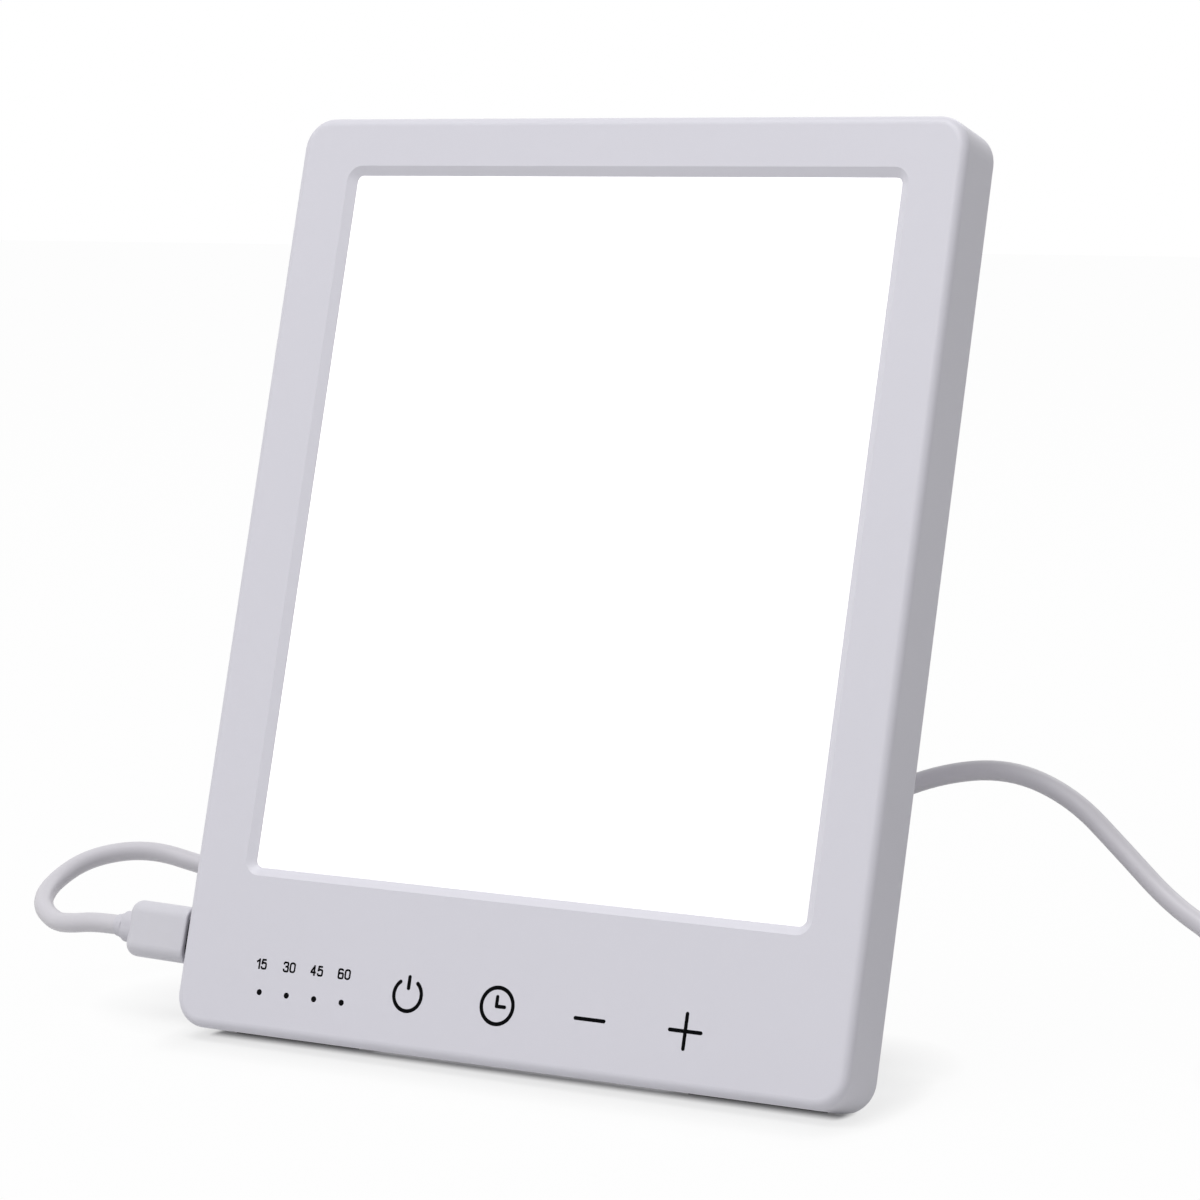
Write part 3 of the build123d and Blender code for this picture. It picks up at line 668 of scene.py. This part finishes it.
# a pressed-flat line of ink along its points
def addLine(form, points):
    startPiece()
    data = bpy.data.curves.new("line", "CURVE")
    data.dimensions = "3D"
    spline = data.splines.new("NURBS")
    spline.points.add(len(points) - 1)
    for point, place in zip(spline.points, points):
        point.co = (*place, 0, 1)
    spline.order_u = 2 if form == "straight" else 3
    spline.use_endpoint_u = form != "oval"
    spline.use_cyclic_u = form == "oval"
    spline.resolution_u = 5
    data.bevel_depth = minutes["line"] / 2
    data.bevel_resolution = 2
    data.use_fill_caps = form != "oval"
    line = bpy.data.objects.new("line", data)
    scene.collection.objects.link(line)
    line.select_set(True)
    bpy.context.view_layer.objects.active = line
    bpy.ops.object.convert(target="MESH")
    line = bpy.context.object
    line.data.transform(Matrix.Diagonal((1, 1, 2 * printing["thickness"] / minutes["line"], 1)))
    return line


def addMinuteNumbers():
    lines = []
    span = minutes["digitWidth"] - minutes["line"]
    rise = minutes["height"] - minutes["line"]
    for number, across in minutes["marks"]:
        starts = []
        end = 0
        for digit in number:
            starts.append(end)
            end += minutes["digits"][digit][0] * span + minutes["line"] + minutes["gap"]
        middle = (end - minutes["line"] - minutes["gap"]) / 2
        for digit, start in zip(number, starts):
            for form, points in minutes["digits"][digit][1]:
                places = [(start - middle + x * span, (y - 0.5) * rise) for x, y in points]
                lines.append((addLine(form, places), (across, 0), 0))
    joinSymbol("minuteNumbers", lines, 0, minutes["up"])


addPowerSymbol()
addTimerSymbol()
addStepSymbols()
addMinuteNumbers()
print("symbols printed")


# gold contacts on the tongue of the far plug
contacts = {
    "plugStart": (0.1801, 0.0149, 0.0040),    # where the cord enters the plug's relief
    "heading": -11.195,
    "mouth": 0.0482,
    "top": -0.0001,
    "strips": [(-0.0035, 0.0088), (-0.001, 0.0078), (0.001, 0.0078), (0.0035, 0.0088)],
    "width": 0.001,
    "thickness": 0.00012,
    "sunk": 0.00002,
    "slope": 0.00036,         # how far its front end slopes back
    "rounding": 0.000036,
    "setback": 0.0014,
    "colour": (0.80, 0.56, 0.22),
}


def addContacts():
    farPlug = (Matrix.Translation(contacts["plugStart"])
               @ Matrix.Rotation(math.radians(contacts["heading"]), 4, "Z"))
    strips = []
    for across, length in contacts["strips"]:
        startPiece()
        bpy.ops.mesh.primitive_cube_add(size=1)
        strip = bpy.context.object
        strip.scale = (length, contacts["width"], contacts["thickness"])
        bpy.ops.object.transform_apply(scale=True)
        bpy.ops.object.mode_set(mode="EDIT")
        # the front end slopes down, so that it slides under its spring
        chooseVertices(lambda co: co.x > 0 and co.z > 0)
        bpy.ops.transform.translate(value=(-contacts["slope"], 0, 0))
        bpy.ops.mesh.select_all(action="SELECT")
        bpy.ops.mesh.bevel(offset=contacts["rounding"], segments=2)
        bpy.ops.object.mode_set(mode="OBJECT")
        middle = contacts["mouth"] - contacts["setback"] - length / 2
        level = contacts["top"] + contacts["thickness"] / 2 - contacts["sunk"]
        strip.matrix_world = farPlug @ Matrix.Translation((middle, across, level))
        strips.append(strip)
    startPiece()
    for strip in strips:
        strip.select_set(True)
    bpy.context.view_layer.objects.active = strips[0]
    bpy.ops.object.join()
    keepPiece(strips[0], "plugContacts", "housing",
              platedMetal("contactGold", {"colour": contacts["colour"], "grain": 0.0002,
                                          "roughness": 0.25}))


addContacts()
print("contacts set")


casing = {"colour": (0.640, 0.631, 0.690), "grain": 0.00022, "roughness": 0.43, "spread": 0.012,
          "relief": 0.07}
rear = {"colour": (0.610, 0.602, 0.655), "grain": 0.0004, "roughness": 0.55, "spread": 0.02,
        "relief": 0.14}
panel = {"colour": (0.90, 0.90, 0.90), "glow": (1.0, 1.0, 1.0), "edgeGlow": (1.0, 0.985, 0.97),
         "strength": 0.35, "half": 0.0656, "grain": 0.0004, "roughness": 0.4}


def dressCasing():
    dress("front_frame", mouldedPlastic("casingPlastic", casing))
    dress("rear_cover", mouldedPlastic("rearPlastic", rear))
    dress("kickstand_leg", mouldedPlastic("legPlastic", rear))
    dress("diffuser_panel", litSheet("litDiffuser", panel))
    dress("light_pipes", glossyPlastic("smokedPipe", {"colour": (0.004, 0.004, 0.005),
                                                      "roughness": 0.3, "shine": 0.02}))
    # the rubber is near black; on the feet strips it also stands in for the dark contact shade under
    # the casing's front bottom edge
    rubber = {"colour": (0.030, 0.030, 0.033), "grain": 0.0003, "roughness": 0.72, "dust": 0.15,
              "dustColour": (0.22, 0.21, 0.20)}
    dress("rubber_feet", softRubber("footRubber", rubber))
    dress("leg_foot_pad", softRubber("padRubber", rubber))


def dressFastenings():
    screwSteel = {"colour": (0.55, 0.55, 0.57), "grain": 0.0002, "roughness": 0.32}
    dress("case_screws", platedMetal("screwNickel", screwSteel))
    dress("board_screws", platedMetal("screwZinc", dict(screwSteel, colour=(0.60, 0.60, 0.62))))
    dress("hinge_pins", platedMetal("pinSteel", dict(screwSteel, roughness=0.22, stretch=(0.06, 1, 1))))
    dress("friction_washers", glossyPlastic("washerPolymer", {"colour": (0.74, 0.74, 0.70),
                                                              "roughness": 0.4}))


plug = {"colour": (0.600, 0.592, 0.640), "grain": 0.00025, "roughness": 0.4, "relief": 0.06}
strainRelief = {"colour": (0.560, 0.550, 0.600), "grain": 0.0003, "roughness": 0.48, "relief": 0.08}


def dressPlugs():
    dress("usb_c_plug_body", mouldedPlastic("plugPlastic", plug))
    dress("usb_a_plug_body", mouldedPlastic("farPlugPlastic", plug))
    dress("usb_c_strain_relief", mouldedPlastic("reliefSoft", strainRelief))
    dress("usb_a_strain_relief", mouldedPlastic("farReliefSoft", strainRelief))
    dress("usb_c_plug_collar", glossyPlastic("collarBlack", {"colour": (0.006, 0.006, 0.007),
                                                             "roughness": 0.5, "shine": 0.15}))
    nickel = {"colour": (0.66, 0.66, 0.67), "grain": 0.0002, "roughness": 0.24, "stretch": (1, 0.08, 1)}
    dress("usb_c_plug_shell", platedMetal("plugNickel", nickel))
    dress("usb_a_shell", platedMetal("farPlugNickel", nickel))
    dress("usb_socket_shell", platedMetal("socketNickel", nickel))
    black = {"colour": (0.014, 0.014, 0.016), "roughness": 0.5}
    dress("usb_socket_tongue", glossyPlastic("tongueBlack", black))
    dress("usb_a_insert", glossyPlastic("insertWhite", {"colour": (0.72, 0.72, 0.73),
                                                        "roughness": 0.45}))
    for name in ("cable", "cable_coil", "cable_tail"):
        dress(name, bpy.data.materials["cordJacket"])


def dressLightStack():
    dress("light_guide_plate", glossyPlastic("guideAcrylic", {"colour": (0.85, 0.89, 0.91),
                                                              "roughness": 0.12}))
    dress("reflector_sheet", glossyPlastic("reflectorFilm", {"colour": (0.90, 0.90, 0.90),
                                                             "roughness": 0.35}))
    dress("heat_spreader", platedMetal("spreaderAluminium", {"colour": (0.72, 0.73, 0.74),
                                                             "grain": 0.0005, "roughness": 0.38}))
    strip = {"colour": (0.80, 0.81, 0.79), "track": 0.0004, "pitch": 0.004,
             "trackColour": (0.62, 0.63, 0.60)}
    dress("led_strip_left", printedBoard("stripLaminateLeft", strip))
    dress("led_strip_right", printedBoard("stripLaminateRight", strip))
    package = {"colour": (0.82, 0.82, 0.78), "gel": (0.80, 0.62, 0.10), "pitch": 0.003}
    dress("led_chips", lampPackage("lampPackage", package))
    dress("indicator_leds", lampPackage("indicatorPackage", dict(package, pitch=0.0016)))
    dress("foam_strips", cellFoam("stripFoam", {"colour": (0.03, 0.03, 0.032), "cell": 0.0012}))


def dressElectronics():
    dress("control_board", printedBoard("boardResist", {
        "colour": (0.010, 0.085, 0.030), "track": 0.0003, "pitch": 0.0022,
        "trackColour": (0.030, 0.17, 0.06)}))
    dress("touch_pads", cellFoam("touchFoam", {"colour": (0.05, 0.05, 0.052), "cell": 0.0008}))
    dress("board_chips", glossyPlastic("chipEpoxy", {"colour": (0.012, 0.012, 0.013),
                                                     "roughness": 0.5}))
    dress("power_inductor", glossyPlastic("ferriteBlock", {"colour": (0.05, 0.05, 0.053),
                                                           "roughness": 0.6}))
    dress("lead_sockets", glossyPlastic("socketNylon", {"colour": (0.78, 0.74, 0.62),
                                                        "roughness": 0.4}))
    dress("led_leads", softRubber("leadSleeve", {
        "colour": (0.70, 0.70, 0.71), "grain": 0.0003, "roughness": 0.5, "dust": 0.05,
        "dustColour": (0.5, 0.5, 0.5)}))


dressCasing()
dressFastenings()
dressPlugs()
dressLightStack()
dressElectronics()
print("finishes applied")


studio = {
    "floorSize": 12.0,
    "floorLevel": -0.0001,
    "floorColour": (0.65, 0.65, 0.65),
    # how white the floor shows, by how far it is from the line that the casing stands on; nearer it,
    # the grey matt floor shows its real shadow and also a painted grey shade round the foot
    "line": (0.0738, -0.034),
    "whiteness": [(0.0, 0.0), (0.0006, 0.03), (0.0046, 0.72), (0.01, 0.76), (0.016, 0.83),
                  (0.022, 0.94), (0.03, 0.965), (0.3, 0.975)],
    "beside": 2.0,            # past its ends the white comes back faster, behind it slower
    "behind": 0.56,
    # painted shadows, fixed on the floor: it stays greyer round the leg's pad, under the coil and at
    # two places
    # behind the casing, whatever stands there: place, reach and how much
    "paintedShadows": [((0.0, 0.042), 0.04, 0.45), ((0.1694, 0.0506), 0.052, 0.4),
               ((-0.0812, -0.0056), 0.0403, 0.29), ((0.05, 0.0058), 0.0306, 0.21)],
    "ambient": 0.42,
    "lampSize": 1.25,
    "lampsFace": (0, 0, 0.1),
    "key": (23.3, (-0.28, -0.8, 2.1)),
    "fill": (8.0, (-0.1, -1.6, 1.2)),
    "rear": (6.0, (0.0, 1.4, 1.4)),
}


# white to the eye and in reflections, and as dark as the room to everything else
def seenDirectly(network):
    camera, gloss, through = network.add("ShaderNodeLightPath").outputs(
        "Is Camera Ray", "Is Glossy Ray", "Is Transmission Ray")
    return network.add("ShaderNodeClamp", {}, {0: camera + gloss + through})


def floorWhiteness(finish):
    across, deep = finish.ways()[:2]
    half, back = studio["line"]
    beside = finish.maths("MAXIMUM", finish.maths("ABSOLUTE", across) - half, 0.0) * studio["beside"]
    apart = finish.maths("MAXIMUM", (deep - back) * studio["behind"], back - deep)
    reach = studio["whiteness"][-1][0]
    fade = finish.ramp(finish.maths("SQRT", beside * beside + apart * apart) / reach,
                       *[(place / reach, share) for place, share in studio["whiteness"]])
    # each painted shadow greys the floor round a fixed place, whether or not anything shades it
    for place, reach, much in studio["paintedShadows"]:
        x, y = across - place[0], deep - place[1]
        far = finish.maths("SQRT", x * x + y * y) / reach
        fade = fade * finish.ramp(far, (0.4, 1 - much), (1.0, 1.0))
    return fade


def addFloor():
    startPiece()
    bpy.ops.mesh.primitive_plane_add(size=studio["floorSize"], location=(0, 0, studio["floorLevel"]))
    floor = bpy.context.object
    floor.name = "floor"
    bpy.ops.object.transform_apply(location=True, rotation=True, scale=True)
    finish = Finish("floorWhite")
    finish.tree.nodes.remove(finish.shader)
    matt = finish.add("ShaderNodeBsdfDiffuse", {}, {"Color": colour(studio["floorColour"])})
    white = finish.add("ShaderNodeEmission", {}, {"Color": (1, 1, 1, 1), "Strength": 1.0})
    surface = finish.add("ShaderNodeMixShader", {}, {
        0: floorWhiteness(finish) * seenDirectly(finish), 1: matt, 2: white})
    finish.feed(finish.tree.nodes["Material Output"].inputs["Surface"], surface)
    floor.data.materials.append(finish.material)


def addLamp(name, power, place):
    data = bpy.data.lights.new(name, "AREA")
    data.energy = power
    data.shape = "DISK"
    data.size = studio["lampSize"]
    lamp = bpy.data.objects.new(name, data)
    lamp.location = place
    away = Vector(place) - Vector(studio["lampsFace"])
    lamp.rotation_euler = away.to_track_quat("Z", "Y").to_euler()
    scene.collection.objects.link(lamp)
    return data


def lightRoom():
    world = bpy.data.worlds.new("room")
    world.use_nodes = True
    scene.world = world
    room = Network(world.node_tree)
    dim = room.add("ShaderNodeBackground", {}, {
        "Color": (1, 1, 1, 1), "Strength": studio["ambient"]})
    white = room.add("ShaderNodeBackground", {}, {"Color": (1, 1, 1, 1), "Strength": 1.0})
    surface = room.add("ShaderNodeMixShader", {}, {0: seenDirectly(room), 1: dim, 2: white})
    room.feed(room.tree.nodes["World Output"].inputs["Surface"], surface)
    addLamp("keyLight", *studio["key"])
    addLamp("rearLight", *studio["rear"])
    # it opens up the shade behind the casing and casts no shadow of its own
    addLamp("fillLight", *studio["fill"]).use_shadow = False


addFloor()
lightRoom()
print("studio lit")

startPiece()
